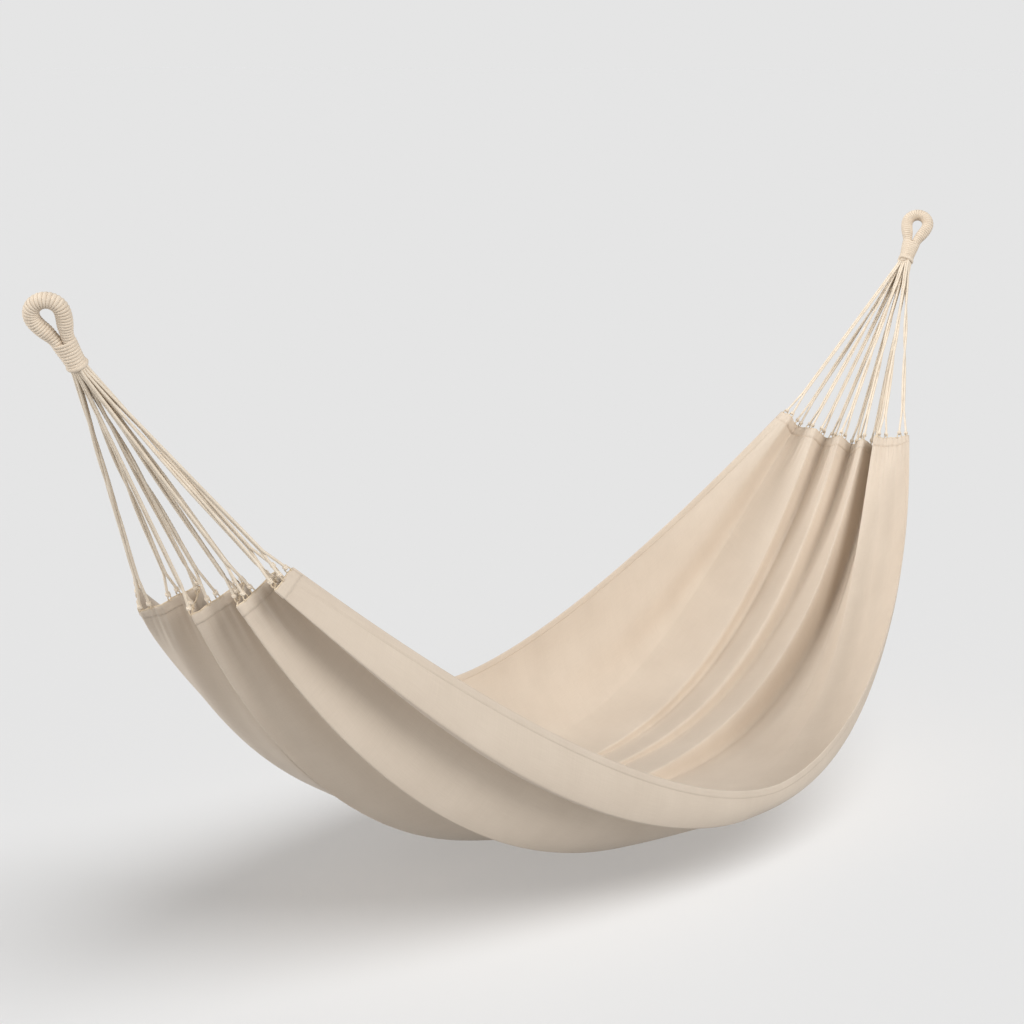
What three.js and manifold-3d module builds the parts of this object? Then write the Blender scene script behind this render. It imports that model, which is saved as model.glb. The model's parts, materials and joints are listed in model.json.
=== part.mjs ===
// Hammock: a folded cotton bed that hangs by doubled strings from two cord-wound eyes.
// Millimetres, +Z up, X along the bed, -Y the near side. The origin is the left eye's hook seat.
import * as THREE from "three";
import { mergeVertices } from "three/addons/utils/BufferGeometryUtils.js";
import Module from "manifold-3d";

const wasm = await Module();
wasm.setup();

// Hanging: each fan of strings opens from a pivot at the lower end of its neck
const PIVOT_SPAN = 2170; // between the two pivots, which are level
const STRING_REACH = 398; // pivot to the cloth's end edge

// Middle of the bed, measured from the line between the pivots
const NEAR_EDGE_OUT = 400;
const FAR_EDGE_OUT = 268;
const NEAR_EDGE_DROP = 737;
const FAR_EDGE_DROP = 667;
const BELLY_DROP = 830;
const BELLY_SQUARENESS = 2.6; // 2 is an ellipse, more is a flatter floor
const EDGE_SAG_POWER = 1.73; // along the side edges
const BELLY_SAG_POWER = 3.1; // along the belly, which drops steeply from the strings
const SPREAD_POWER = 2; // how the bed widens from its ends

// Cloth
const CLOTH_THICKNESS = 1.5;
const HEM_THICKNESS = 2.6; // the cloth turned over and sewn
const END_HEM_WIDTH = 18;
const SIDE_HEM_WIDTH = 12;
const CLOTH_GAP = 0.3;
const FOLD_LINE_POWER = 2; // how a fold line swings from its place in the middle to the end's
const FOLD_FADE_POWER = 1.3; // how a fold flattens towards the middle
const FOLD_LEFT_IN_MIDDLE = 0.08; // share of its depth that a fold keeps there
const FOLD_LEAN = 0.8; // how far a fold leans over its neighbour for its depth, away from the end
const FOLD_LEAN_UNTIL = 0.6; // from there on it straightens towards the end hem
const FOLD_LEAST_WIDTH = 0.006; // share of the cloth's width

// Strings and the lacing that ties them to the end hems
const STRING_PAIRS = 12;
const STRING_RADIUS = 1.7;
const STRING_GAP = 0.35;
const SPLIT_LENGTH = 46; // the last stretch of a pair, where its two legs part
const LEG_SPREAD = 14; // between the two legs at the cloth
const FIRST_PAIR_INSET = 14; // from the corner of the cloth
const LACING_RADIUS = 1.2;
const LACING_GAP = 0.8;
const FAN_COLUMNS = 3; // pairs side by side in the neck
const FAN_ROWS = 4;

// Eye and neck
const PIVOT_BALL_RADIUS = 14; // where the strings start
const JOINT_GAP = 0.3; // between the strings and the rounded end of the neck
const NECK_LENGTH = 42;
const LOOP_CORE_RADIUS = 8;
const LEG_CORE_RADIUS = 5.8;
const LOOP_HALF_WIDTH = 20.2; // centre line of the loop
const LOOP_TOP = 107; // centre line's top above the pivot
const LEG_OFFSET = 6.8; // centre line of a leg inside the neck
const LEG_EASE = 16; // how long the legs and the loop's sides keep straight as they part
const LEG_CLEARANCE = 0.4; // half the gap between the wound legs above the neck

// Winding cord round the eye and the neck
const WIND_WIDTH_GAP = 0.75; // between neighbouring turns
const WIND_HEIGHT = 2.7;
const WIND_SEAT_GAP = 0.45;
const EYE_TURNS = 24;
const NECK_TURNS = 8;
const STEPS_PER_TURN = 10;

// One end of the bed each. near and far are the corners' angles in plan, dips are the angles
// below level at the near corner, the middle and the far corner. A fold line has its place
// across the cloth at the end and in the middle, and its depth outwards in millimetres at both.
const LEFT = {
  name: "left",
  side: -1,
  near: 22,
  far: 16,
  nearDip: 50,
  midDip: 57,
  farDip: 60,
  eyeTwist: 35,
  folds: [
    [0, 0, 0, 0],
    [0.075, 0.07, 34, 30],
    [0.13, 0.085, -20, -90],
    [0.285, 0.235, 42, 20],
    [0.345, 0.25, -20, -100],
    [0.565, 0.47, 42, 15],
    [0.625, 0.485, -20, -90],
    [0.87, 0.84, 34, 34],
    [1, 1, 0, 0],
  ],
};
const RIGHT = {
  name: "right",
  side: 1,
  near: 20,
  far: 17,
  nearDip: 55,
  midDip: 55,
  farDip: 47,
  eyeTwist: -24,
  folds: [
    [0, 0, 0, 0],
    [0.08, 0.08, -4, -4],
    [0.16, 0.16, -12, -12],
    [0.25, 0.24, -26, -30],
    [0.31, 0.49, 30, 80],
    [0.355, 0.5, -16, -60],
    [0.49, 0.6, 24, 10],
    [0.535, 0.605, -16, -30],
    [0.685, 0.665, 24, 10],
    [0.73, 0.67, -16, -30],
    [0.885, 0.79, 24, 80],
    [0.94, 0.92, -8, -8],
    [1, 1, 0, 0],
  ],
};

// Mesh detail
const CLOTH_COLUMNS = 24;
const CLOTH_ROWS = 24;
const CORE_RINGS = 30;
const MID_SECTION_SAMPLES = 400;
const SLOPE_STEP = 1e-3;

const COTTON = 0xe3d3bf;
const CORD = 0xe9dcc6;

const rad = THREE.MathUtils.degToRad;
const lerp = THREE.MathUtils.lerp;
const V = (x, y, z) => new THREE.Vector3(x, y, z);
const mix = (a, b, t) => a.clone().lerp(b, t);

// Cross-section of the bed's middle as a flattened U, sampled by even length
function middleSection() {
  const centre = (FAR_EDGE_OUT - NEAR_EDGE_OUT) / 2;
  const half = (FAR_EDGE_OUT + NEAR_EDGE_OUT) / 2;
  const power = 2 / BELLY_SQUARENESS;
  const points = [];
  const lengths = [0];
  for (let i = 0; i <= MID_SECTION_SAMPLES; i++) {
    const angle = (Math.PI * i) / MID_SECTION_SAMPLES;
    const across = -Math.sign(Math.cos(angle)) * Math.abs(Math.cos(angle)) ** power;
    const down = Math.abs(Math.sin(angle)) ** power;
    const rim = -lerp(NEAR_EDGE_DROP, FAR_EDGE_DROP, (across + 1) / 2);
    points.push(V(0, centre + half * across, rim + (-BELLY_DROP - rim) * down));
    if (i > 0) lengths.push(lengths[i - 1] + points[i].distanceTo(points[i - 1]));
  }
  return { points, lengths };
}
const MIDDLE = middleSection();

function middlePoint(v) {
  const { points, lengths } = MIDDLE;
  const want = THREE.MathUtils.clamp(v, 0, 1) * lengths[lengths.length - 1];
  let i = 1;
  while (i < points.length - 1 && lengths[i] < want) i++;
  const t = (want - lengths[i - 1]) / (lengths[i] - lengths[i - 1]);
  return mix(points[i - 1], points[i], t);
}

const pivotOf = (end) => V((end.side * PIVOT_SPAN) / 2, 0, 0);

// Direction from a pivot down its fan of strings: plan angle towards +Y, and dip below level
function fanDirection(end, plan, dip) {
  const level = Math.cos(rad(plan)) * Math.cos(rad(dip));
  return V(-end.side * level, Math.sin(rad(plan)), -Math.cos(rad(plan)) * Math.sin(rad(dip)));
}

// End edge of the unfolded bed, on a ball round the pivot because the strings are equally long
function endPoint(end, v) {
  const plan = lerp(-end.near, end.far, v);
  const corner = lerp(end.nearDip, end.farDip, v);
  const belly = end.midDip - (end.nearDip + end.farDip) / 2;
  const dip = corner + belly * (1 - Math.abs(2 * v - 1) ** 3);
  return pivotOf(end).addScaledVector(fanDirection(end, plan, dip), STRING_REACH);
}

// The bed without its folds. u runs from -1 at the left end to 1 at the right, v from the near
// edge to the far one.
function bedPoint(u, v) {
  const along = Math.abs(u);
  const tip = endPoint(u < 0 ? LEFT : RIGHT, v);
  const middle = middlePoint(v);
  const belly = Math.min(1, (1 - (2 * v - 1) ** 2) * 1.15);
  const sag = along ** lerp(EDGE_SAG_POWER, BELLY_SAG_POWER, belly);
  const spread = along ** SPREAD_POWER;
  return V(tip.x * along, lerp(middle.y, tip.y, spread), lerp(middle.z, tip.z, sag));
}

// Outward normal of the unfolded bed
function bedNormal(u, v) {
  const clampU = THREE.MathUtils.clamp(u, -1 + SLOPE_STEP, 1 - SLOPE_STEP);
  const clampV = THREE.MathUtils.clamp(v, SLOPE_STEP, 1 - SLOPE_STEP);
  const alongU = bedPoint(clampU + SLOPE_STEP, clampV).sub(bedPoint(clampU - SLOPE_STEP, clampV));
  const alongV = bedPoint(clampU, clampV + SLOPE_STEP).sub(bedPoint(clampU, clampV - SLOPE_STEP));
  return alongV.cross(alongU).normalize();
}

// Depth of a fold line at u, before it flattens towards the middle, and the share of it left
const lineDepth = (fold, u) => lerp(fold[3], fold[2], Math.abs(u));
const foldFade = (u) =>
  (FOLD_LEFT_IN_MIDDLE + (1 - FOLD_LEFT_IN_MIDDLE) * Math.abs(u) ** FOLD_FADE_POWER) *
  THREE.MathUtils.smoothstep(Math.abs(u), 0, 0.12);

const foldLean = (u) => FOLD_LEAN * (1 - THREE.MathUtils.smoothstep(Math.abs(u), FOLD_LEAN_UNTIL, 1));

// Where each fold line starts in the flat cloth at u, so that its leaning crest ends in place
function foldStarts(u) {
  const { folds } = u < 0 ? LEFT : RIGHT;
  const starts = [];
  for (const fold of folds) {
    const place = lerp(fold[1], fold[0], Math.abs(u) ** FOLD_LINE_POWER);
    const low = Math.max(0, place - 0.01);
    const high = Math.min(1, place + 0.01);
    const width = bedPoint(u, high).distanceTo(bedPoint(u, low)) / (high - low);
    const start = place - (lineDepth(fold, u) * foldFade(u) * foldLean(u)) / width;
    const before = starts.at(-1) ?? -FOLD_LEAST_WIDTH;
    starts.push(Math.max(start, before + FOLD_LEAST_WIDTH));
  }
  return starts;
}

// How far the folds push the cloth outwards
function foldDepth(u, v) {
  const { folds } = u < 0 ? LEFT : RIGHT;
  const starts = foldStarts(u);
  let k = 1;
  while (k < folds.length - 1 && starts[k] < v) k++;
  const t = THREE.MathUtils.clamp((v - starts[k - 1]) / (starts[k] - starts[k - 1]), 0, 1);
  const ease = (1 - Math.cos(Math.PI * t)) / 2;
  return lerp(lineDepth(folds[k - 1], u), lineDepth(folds[k], u), ease) * foldFade(u);
}

// The bed with its folds, which push outwards and lean towards the far edge
function clothPoint(u, v) {
  const depth = foldDepth(u, v);
  const low = bedPoint(u, Math.max(0, v - SLOPE_STEP));
  const across = bedPoint(u, Math.min(1, v + SLOPE_STEP)).sub(low).normalize();
  return bedPoint(u, v)
    .addScaledVector(bedNormal(u, v), depth)
    .addScaledVector(across, depth * foldLean(u));
}

function clothNormal(u, v) {
  const clampU = THREE.MathUtils.clamp(u, -1 + SLOPE_STEP, 1 - SLOPE_STEP);
  const clampV = THREE.MathUtils.clamp(v, SLOPE_STEP, 1 - SLOPE_STEP);
  const alongU = clothPoint(clampU + SLOPE_STEP, clampV).sub(clothPoint(clampU - SLOPE_STEP, clampV));
  const alongV = clothPoint(clampU, clampV + SLOPE_STEP).sub(clothPoint(clampU, clampV - SLOPE_STEP));
  return alongV.cross(alongU).normalize();
}

// Column j of the cloth's grid, which follows the fold lines towards each end
function columnPlace(u, j) {
  const { folds } = u < 0 ? LEFT : RIGHT;
  const perFold = CLOTH_COLUMNS / (folds.length - 1);
  const k = Math.min(folds.length - 2, Math.floor(j / perFold));
  const t = j / perFold - k;
  const starts = foldStarts(u);
  const aligned = lerp(starts[k], starts[k + 1], t);
  return lerp(j / CLOTH_COLUMNS, aligned, THREE.MathUtils.smoothstep(Math.abs(u), 0, 0.25));
}

// A closed body from rings of points: rings joined side by side, first and last ring capped
function skin(rings) {
  const sides = rings[0].length;
  const position = [];
  rings.forEach((ring) => ring.forEach((p) => position.push(p.x, p.y, p.z)));
  const index = [];
  for (let i = 0; i < rings.length - 1; i++) {
    for (let j = 0; j < sides; j++) {
      const a = i * sides + j;
      const b = i * sides + ((j + 1) % sides);
      index.push(a, b, a + sides, b, b + sides, a + sides);
    }
  }
  const last = (rings.length - 1) * sides;
  for (let j = 1; j < sides - 1; j++) {
    index.push(0, j + 1, j, last, last + j, last + j + 1);
  }
  return closedBody(position, index);
}

// A BufferGeometry whose faces point outwards
function closedBody(position, index) {
  const at = (i) => V(position[3 * i], position[3 * i + 1], position[3 * i + 2]);
  let volume = 0;
  for (let i = 0; i < index.length; i += 3) {
    volume += at(index[i]).dot(at(index[i + 1]).cross(at(index[i + 2])));
  }
  if (volume < 0) index.reverse();
  const geometry = new THREE.BufferGeometry();
  geometry.setAttribute("position", new THREE.Float32BufferAttribute(position, 3));
  geometry.setIndex(index);
  geometry.computeVertexNormals();
  return geometry;
}

// A panel of the cloth between rows us and, in each row, the places that placesAt gives
function panel(us, placesAt, thickness) {
  const outer = [];
  const inner = [];
  us.forEach((u) => {
    placesAt(u).forEach((v) => {
      const p = clothPoint(u, v);
      const n = clothNormal(u, v);
      outer.push(p.clone().addScaledVector(n, thickness / 2));
      inner.push(p.clone().addScaledVector(n, -thickness / 2));
    });
  });
  const rows = us.length;
  const columns = outer.length / rows;
  const position = [...outer, ...inner].flatMap((p) => [p.x, p.y, p.z]);
  const index = [];
  const quad = (a, b, c, d) => index.push(a, b, c, a, c, d);
  const at = (i, j) => i * columns + j;
  const back = rows * columns;
  for (let i = 0; i < rows - 1; i++) {
    for (let j = 0; j < columns - 1; j++) {
      quad(at(i, j), at(i + 1, j), at(i + 1, j + 1), at(i, j + 1));
      quad(back + at(i, j), back + at(i, j + 1), back + at(i + 1, j + 1), back + at(i + 1, j));
    }
    quad(at(i, 0), back + at(i, 0), back + at(i + 1, 0), at(i + 1, 0));
    const last = columns - 1;
    quad(at(i, last), at(i + 1, last), back + at(i + 1, last), back + at(i, last));
  }
  for (let j = 0; j < columns - 1; j++) {
    quad(at(0, j), at(0, j + 1), back + at(0, j + 1), back + at(0, j));
    const last = rows - 1;
    quad(at(last, j), back + at(last, j), back + at(last, j + 1), at(last, j + 1));
  }
  return closedBody(position, index);
}

// Lengths on the cloth turned into steps of u and v
function alongStep(end, v, length) {
  const u = end.side;
  const inside = u * (1 - SLOPE_STEP);
  return (length * SLOPE_STEP) / bedPoint(u, v).distanceTo(bedPoint(inside, v));
}
function acrossStep(u, v, length) {
  const inward = v < 0.5 ? SLOPE_STEP : -SLOPE_STEP;
  return (length * SLOPE_STEP) / clothPoint(u, v).distanceTo(clothPoint(u, v + inward));
}
const endHemStart = (end) => 1 - alongStep(end, 0.5, END_HEM_WIDTH);
const endHemGap = (end) => alongStep(end, 0, 2 * CLOTH_GAP);

// Columns from hem to hem, or the two lines of one side hem
function clothColumns(u) {
  const near = acrossStep(u, 0, SIDE_HEM_WIDTH + CLOTH_GAP);
  const far = 1 - acrossStep(u, 1, SIDE_HEM_WIDTH + CLOTH_GAP);
  return endHemColumns(u).map((v) => lerp(near, far, v));
}
const sideHemColumns = (u, edge) => {
  const inner = acrossStep(u, edge, SIDE_HEM_WIDTH);
  return edge === 0 ? [0, inner] : [1 - inner, 1];
};
const endHemColumns = (u) => {
  const columns = [];
  for (let j = 0; j <= CLOTH_COLUMNS; j++) columns.push(columnPlace(u, j));
  return columns;
};

function rowsBetween(from, to, count) {
  const rows = [];
  for (let i = 0; i <= count; i++) rows.push(lerp(from, to, i / count));
  return rows;
}

// Ring of points round a centre, in the plane of two unit vectors
function ringAt(centre, across, up, radiusAcross, radiusUp, sides) {
  const ring = [];
  for (let j = 0; j < sides; j++) {
    const angle = (2 * Math.PI * j) / sides;
    ring.push(
      centre
        .clone()
        .addScaledVector(across, radiusAcross * Math.cos(angle))
        .addScaledVector(up, radiusUp * Math.sin(angle)),
    );
  }
  return ring;
}

// Tube along a list of points, its rings mitred and turned as little as possible. The end
// rings may be given their own plane normals.
function cordTube(points, radius, sides, firstNormal, lastNormal) {
  const last = points.length - 1;
  const headings = points.map((p, i) => {
    const next = i < last ? points[i + 1].clone().sub(p).normalize() : V(0, 0, 0);
    const before = i > 0 ? p.clone().sub(points[i - 1]).normalize() : V(0, 0, 0);
    return next.add(before).normalize();
  });
  if (firstNormal) headings[0] = firstNormal.clone();
  if (lastNormal) headings[last] = lastNormal.clone();
  let across = V(0, 1, 0).cross(headings[0]);
  if (across.length() < 0.2) across = V(0, 0, 1).cross(headings[0]);
  const rings = points.map((p, i) => {
    across.addScaledVector(headings[i], -across.dot(headings[i])).normalize();
    const up = headings[i].clone().cross(across);
    return ringAt(p, across, up, radius, radius, sides);
  });
  return skin(rings);
}

// Frame of one end's neck and eye: down the fan, across the eye, and out of the eye's plane
function eyeFrame(end) {
  const plan = (end.far - end.near) / 2;
  const down = fanDirection(end, plan, end.midDip).normalize();
  const side = V(0, 1, 0).addScaledVector(down, -down.y).normalize();
  const depth = down.clone().cross(side).multiplyScalar(end.side).normalize();
  const twist = rad(end.eyeTwist);
  const across = side.clone().multiplyScalar(Math.cos(twist)).addScaledVector(depth, Math.sin(twist));
  return { down, side, depth, across: across.normalize(), pivot: pivotOf(end) };
}

// A point of the eye: across it, and up from the pivot
const eyePoint = (frame, across, up) =>
  frame.pivot.clone().addScaledVector(frame.across, across).addScaledVector(frame.down, -up);

// Centre line of the eye's core: up one leg, round the top's half circle and down the other
function eyeCurve(frame) {
  const shoulder = LOOP_TOP - LOOP_HALF_WIDTH;
  const leg = new THREE.CubicBezierCurve(
    new THREE.Vector2(LEG_OFFSET, NECK_LENGTH * 0.7),
    new THREE.Vector2(LEG_OFFSET, NECK_LENGTH + LEG_EASE),
    new THREE.Vector2(LOOP_HALF_WIDTH, shoulder - LEG_EASE),
    new THREE.Vector2(LOOP_HALF_WIDTH, shoulder),
  );
  const half = leg.getSpacedPoints(8).map((p) => [p.x, p.y]);
  const arcSteps = 5;
  for (let i = 1; i < arcSteps; i++) {
    const angle = (Math.PI / 2) * (i / arcSteps);
    half.push([LOOP_HALF_WIDTH * Math.cos(angle), shoulder + LOOP_HALF_WIDTH * Math.sin(angle)]);
  }
  const right = half.map(([across, up]) => eyePoint(frame, across, up));
  const left = half.map(([across, up]) => eyePoint(frame, -across, up)).reverse();
  return new THREE.CatmullRomCurve3([...right, eyePoint(frame, 0, LOOP_TOP), ...left]);
}

// Radius of the eye's core, thinner where its two legs share the neck
function coreRadius(frame, point) {
  const up = -point.clone().sub(frame.pivot).dot(frame.down);
  const t = THREE.MathUtils.smoothstep(up, NECK_LENGTH + 6, NECK_LENGTH + 26);
  return lerp(LEG_CORE_RADIUS, LOOP_CORE_RADIUS, t);
}

const toManifold = (geometry) => {
  const bare = geometry.clone();
  bare.deleteAttribute("normal");
  bare.deleteAttribute("uv");
  const merged = mergeVertices(bare, 1e-4);
  return new wasm.Manifold(
    new wasm.Mesh({
      numProp: 3,
      vertProperties: merged.attributes.position.array,
      triVerts: new Uint32Array(merged.index.array),
    }),
  );
};

function fromManifold(solid) {
  const mesh = solid.getMesh();
  const geometry = new THREE.BufferGeometry();
  geometry.setAttribute("position", new THREE.BufferAttribute(mesh.vertProperties, 3));
  geometry.setIndex(new THREE.BufferAttribute(mesh.triVerts, 1));
  geometry.computeVertexNormals();
  return geometry;
}

// The bundle of cords that the eye is wound on: a loop whose legs join in a round neck
function eyeCore(end) {
  const frame = eyeFrame(end);
  const curve = eyeCurve(frame);
  const outOfPlane = frame.down.clone().cross(frame.across).normalize();
  const rings = [];
  for (let i = 0; i <= CORE_RINGS; i++) {
    const centre = curve.getPointAt(i / CORE_RINGS);
    const heading = curve.getTangentAt(i / CORE_RINGS);
    const outward = heading.clone().cross(outOfPlane).normalize();
    const radius = coreRadius(frame, centre);
    rings.push(ringAt(centre, outward, outOfPlane, radius, radius, STEPS_PER_TURN));
  }
  const ball = PIVOT_BALL_RADIUS - JOINT_GAP;
  const profile = [new THREE.Vector2(0, -ball)];
  const bands = 5;
  for (let i = 1; i < bands; i++) {
    const angle = (Math.PI / 2) * (i / bands);
    profile.push(new THREE.Vector2(ball * Math.sin(angle), -ball * Math.cos(angle)));
  }
  profile.push(new THREE.Vector2(ball, 0));
  profile.push(new THREE.Vector2(ball, NECK_LENGTH - 3));
  profile.push(new THREE.Vector2(ball - 4, NECK_LENGTH));
  profile.push(new THREE.Vector2(0, NECK_LENGTH));
  const neck = new THREE.LatheGeometry(profile, STEPS_PER_TURN, Math.PI / 2);
  neck.applyMatrix4(
    new THREE.Matrix4().makeBasis(frame.across, frame.down.clone().negate(), outOfPlane),
  );
  neck.translate(frame.pivot.x, frame.pivot.y, frame.pivot.z);
  return fromManifold(toManifold(skin(rings)).add(toManifold(neck)));
}

// Section of a winding cord, pressed flat on what it is wound on
function windingRing(centre, along, outward, halfWidth) {
  const shape = [
    [-1, 0],
    [1, 0],
    [0.95, 0.62],
    [0, 1],
    [-0.95, 0.62],
  ];
  return shape.map(([a, h]) =>
    centre.clone().addScaledVector(along, a * halfWidth).addScaledVector(outward, h * WIND_HEIGHT),
  );
}

// Adds a straight run of one cord diameter to both ends of a winding
function withStraightEnds(rings) {
  const run = (from, to) => {
    const step = to[0].clone().sub(from[0]).normalize().multiplyScalar(WIND_HEIGHT);
    return to.map((p) => p.clone().add(step));
  };
  const first = run(rings[1], rings[0]);
  const last = run(rings[rings.length - 2], rings[rings.length - 1]);
  return [first, ...rings, last];
}

// Least distance between the points of a winding that lie more than half a turn apart
function leastGap(rings) {
  let least = Infinity;
  const apart = STEPS_PER_TURN * 0.6;
  rings.forEach((ring, i) => {
    for (let k = Math.ceil(i + apart); k < rings.length; k++) {
      ring.forEach((p) => rings[k].forEach((q) => (least = Math.min(least, p.distanceTo(q)))));
    }
  });
  return least;
}

// One unbroken cord round the eye's loop. Its turns crowd on the inside of the bend, so the
// cord is squeezed narrower there.
function eyeWinding(end) {
  const frame = eyeFrame(end);
  const curve = eyeCurve(frame);
  const outOfPlane = frame.down.clone().cross(frame.across).normalize();
  const length = curve.getLength();
  const acrossAt = (t) => curve.getPointAt(t).sub(frame.pivot).dot(frame.across);
  const start = LEG_CORE_RADIUS + WIND_SEAT_GAP + WIND_HEIGHT + LEG_CLEARANCE;
  let from = 0;
  while (acrossAt(from) < start) from += 1e-3;
  const to = 1 - from;
  const pitch = ((to - from) * length) / EYE_TURNS;
  const rings = [];
  const steps = EYE_TURNS * STEPS_PER_TURN;
  for (let i = 0; i <= steps; i++) {
    const t = lerp(from, to, i / steps);
    const centre = curve.getPointAt(t);
    const heading = curve.getTangentAt(t);
    const outward = heading.clone().cross(outOfPlane).normalize();
    const bend = curve.getTangentAt(Math.min(1, t + 0.01)).sub(curve.getTangentAt(t - 0.01));
    const curvature = bend.dot(outward) / (0.02 * length);
    const angle = (2 * Math.PI * i) / STEPS_PER_TURN;
    const ray = outward
      .clone()
      .multiplyScalar(Math.cos(angle))
      .addScaledVector(outOfPlane, Math.sin(angle));
    const seat = coreRadius(frame, centre) + WIND_SEAT_GAP;
    const crowding = curvature * Math.cos(angle);
    const narrowest = crowding > 0 ? seat + WIND_HEIGHT : seat;
    const localPitch = pitch * (1 - crowding * narrowest);
    const halfWidth = (localPitch - WIND_WIDTH_GAP) / 2;
    rings.push(windingRing(centre.addScaledVector(ray, seat), heading, ray, halfWidth));
  }
  console.log(end.name + " eye winding's least gap to itself", leastGap(rings).toFixed(2), "mm");
  return skin(withStraightEnds(rings));
}

// The same kind of cord round the neck, which binds the eye's legs together
function neckWinding(end) {
  const frame = eyeFrame(end);
  const outOfPlane = frame.down.clone().cross(frame.across).normalize();
  const up = frame.down.clone().negate();
  const pitch = NECK_LENGTH / NECK_TURNS;
  const halfWidth = (pitch - WIND_WIDTH_GAP) / 2;
  const seat = PIVOT_BALL_RADIUS - JOINT_GAP + WIND_SEAT_GAP;
  const rings = [];
  const steps = (NECK_TURNS - 1) * STEPS_PER_TURN;
  for (let i = 0; i <= steps; i++) {
    const angle = (2 * Math.PI * i) / STEPS_PER_TURN;
    const ray = frame.across
      .clone()
      .multiplyScalar(Math.cos(angle))
      .addScaledVector(outOfPlane, Math.sin(angle));
    const height = halfWidth + 0.2 + (pitch * i) / STEPS_PER_TURN;
    const centre = frame.pivot.clone().addScaledVector(up, height).addScaledVector(ray, seat);
    rings.push(windingRing(centre, up, ray, halfWidth));
  }
  console.log(end.name + " neck winding's least gap to itself", leastGap(rings).toFixed(2), "mm");
  return skin(withStraightEnds(rings));
}

// The line that the strings' lower bends lie on, just beyond the end hem
function edgeLine(end) {
  const samples = 480;
  const reach = 2 * LACING_RADIUS + STRING_RADIUS + 2 * LACING_GAP;
  const points = [];
  const lengths = [0];
  for (let i = 0; i <= samples; i++) {
    const v = i / samples;
    const edge = clothPoint(end.side, v);
    const outward = pivotOf(end).sub(edge).normalize();
    points.push(edge.addScaledVector(outward, reach));
    if (i > 0) lengths.push(lengths[i - 1] + points[i].distanceTo(points[i - 1]));
  }
  const total = lengths[samples];
  const at = (length) => {
    const want = THREE.MathUtils.clamp(length, 0, total);
    let i = 1;
    while (i < samples && lengths[i] < want) i++;
    return mix(points[i - 1], points[i], (want - lengths[i - 1]) / (lengths[i] - lengths[i - 1]));
  };
  return { at, total };
}

// Length along the edge line at which pair k is tied
const pairPlace = (line, k) =>
  lerp(FIRST_PAIR_INSET, line.total - FIRST_PAIR_INSET, k / (STRING_PAIRS - 1));

// Rows of the strings' starts in the neck: within each group of pairs that stand one behind the
// other, the pair whose foot lies deepest takes the deepest row
function fanRows(end, line) {
  const { depth, pivot } = eyeFrame(end);
  const footDepth = (k) => line.at(pairPlace(line, k)).sub(pivot).dot(depth);
  const rows = [];
  for (let column = 0; column < FAN_COLUMNS; column++) {
    const group = [];
    for (let i = 0; i < FAN_ROWS; i++) group.push(column * FAN_ROWS + i);
    group.sort((a, b) => footDepth(a) - footDepth(b));
    group.forEach((k, row) => (rows[k] = row));
  }
  return rows;
}

// Where a leg starts on the pivot ball: the two legs of a pair stand side by side
function legStart(frame, k, row, leg) {
  const pitch = 2 * STRING_RADIUS + STRING_GAP;
  const column = 2 * Math.floor(k / FAN_ROWS) + leg;
  const across = (column - (2 * FAN_COLUMNS - 1) / 2) * pitch;
  const depth = (row - (FAN_ROWS - 1) / 2) * pitch;
  const down = Math.sqrt(PIVOT_BALL_RADIUS ** 2 - across ** 2 - depth ** 2);
  return frame.pivot
    .clone()
    .addScaledVector(frame.side, across)
    .addScaledVector(frame.depth, depth)
    .addScaledVector(frame.down, down);
}

// A doubled string: down from the neck, round the cloth's edge line and up again
function stringPair(end, line, k, row) {
  const frame = eyeFrame(end);
  const place = pairPlace(line, k);
  const up = frame.pivot.clone().sub(line.at(place)).normalize();
  const split = line.at(place).addScaledVector(up, SPLIT_LENGTH);
  const pitch = 2 * STRING_RADIUS + STRING_GAP;
  const knee = 2.5;
  const apart = frame.side.clone().addScaledVector(up, -up.dot(frame.side)).normalize();
  const legs = [0, 1].map((leg) => {
    const sign = leg === 0 ? -1 : 1;
    const fork = split.clone().addScaledVector(apart, (sign * pitch) / 2);
    const bend = line.at(place + (sign * LEG_SPREAD) / 2).addScaledVector(up, knee);
    const turn = line.at(place + sign * (LEG_SPREAD / 2 - knee));
    return [legStart(frame, k, row, leg), fork, bend, turn];
  });
  const route = [...legs[0], line.at(place), ...legs[1].slice().reverse()];
  const firstNormal = legs[0][0].clone().sub(frame.pivot).normalize();
  const lastNormal = frame.pivot.clone().sub(legs[1][0]).normalize();
  return cordTube(route, STRING_RADIUS, 6, firstNormal, lastNormal);
}

// The lacing: a cord along the end hem that takes a turn round the foot of each pair
function lacing(end, line) {
  const pivot = pivotOf(end);
  const radius = STRING_RADIUS + LACING_GAP + LACING_RADIUS;
  const turnHalf = 4;
  const route = [];
  const put = (length, turn) => {
    const centre = line.at(length);
    const up = pivot.clone().sub(centre).normalize();
    const heading = line.at(length + turnHalf).sub(line.at(length - turnHalf)).normalize();
    const side = up.clone().cross(heading).normalize();
    const angle = 2 * Math.PI * turn;
    route.push(
      centre
        .addScaledVector(up, -radius * Math.cos(angle))
        .addScaledVector(side, radius * Math.sin(angle)),
    );
  };
  const between = 3;
  for (let k = 0; k < STRING_PAIRS; k++) {
    const place = pairPlace(line, k);
    for (let i = 0; i <= 6; i++) put(place + lerp(-turnHalf, turnHalf, i / 6), i / 6);
    if (k === STRING_PAIRS - 1) break;
    const next = pairPlace(line, k + 1);
    for (let i = 1; i <= between; i++) {
      put(lerp(place + turnHalf, next - turnHalf, i / (between + 1)), 0);
    }
  }
  return cordTube(route, LACING_RADIUS, 5);
}

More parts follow.
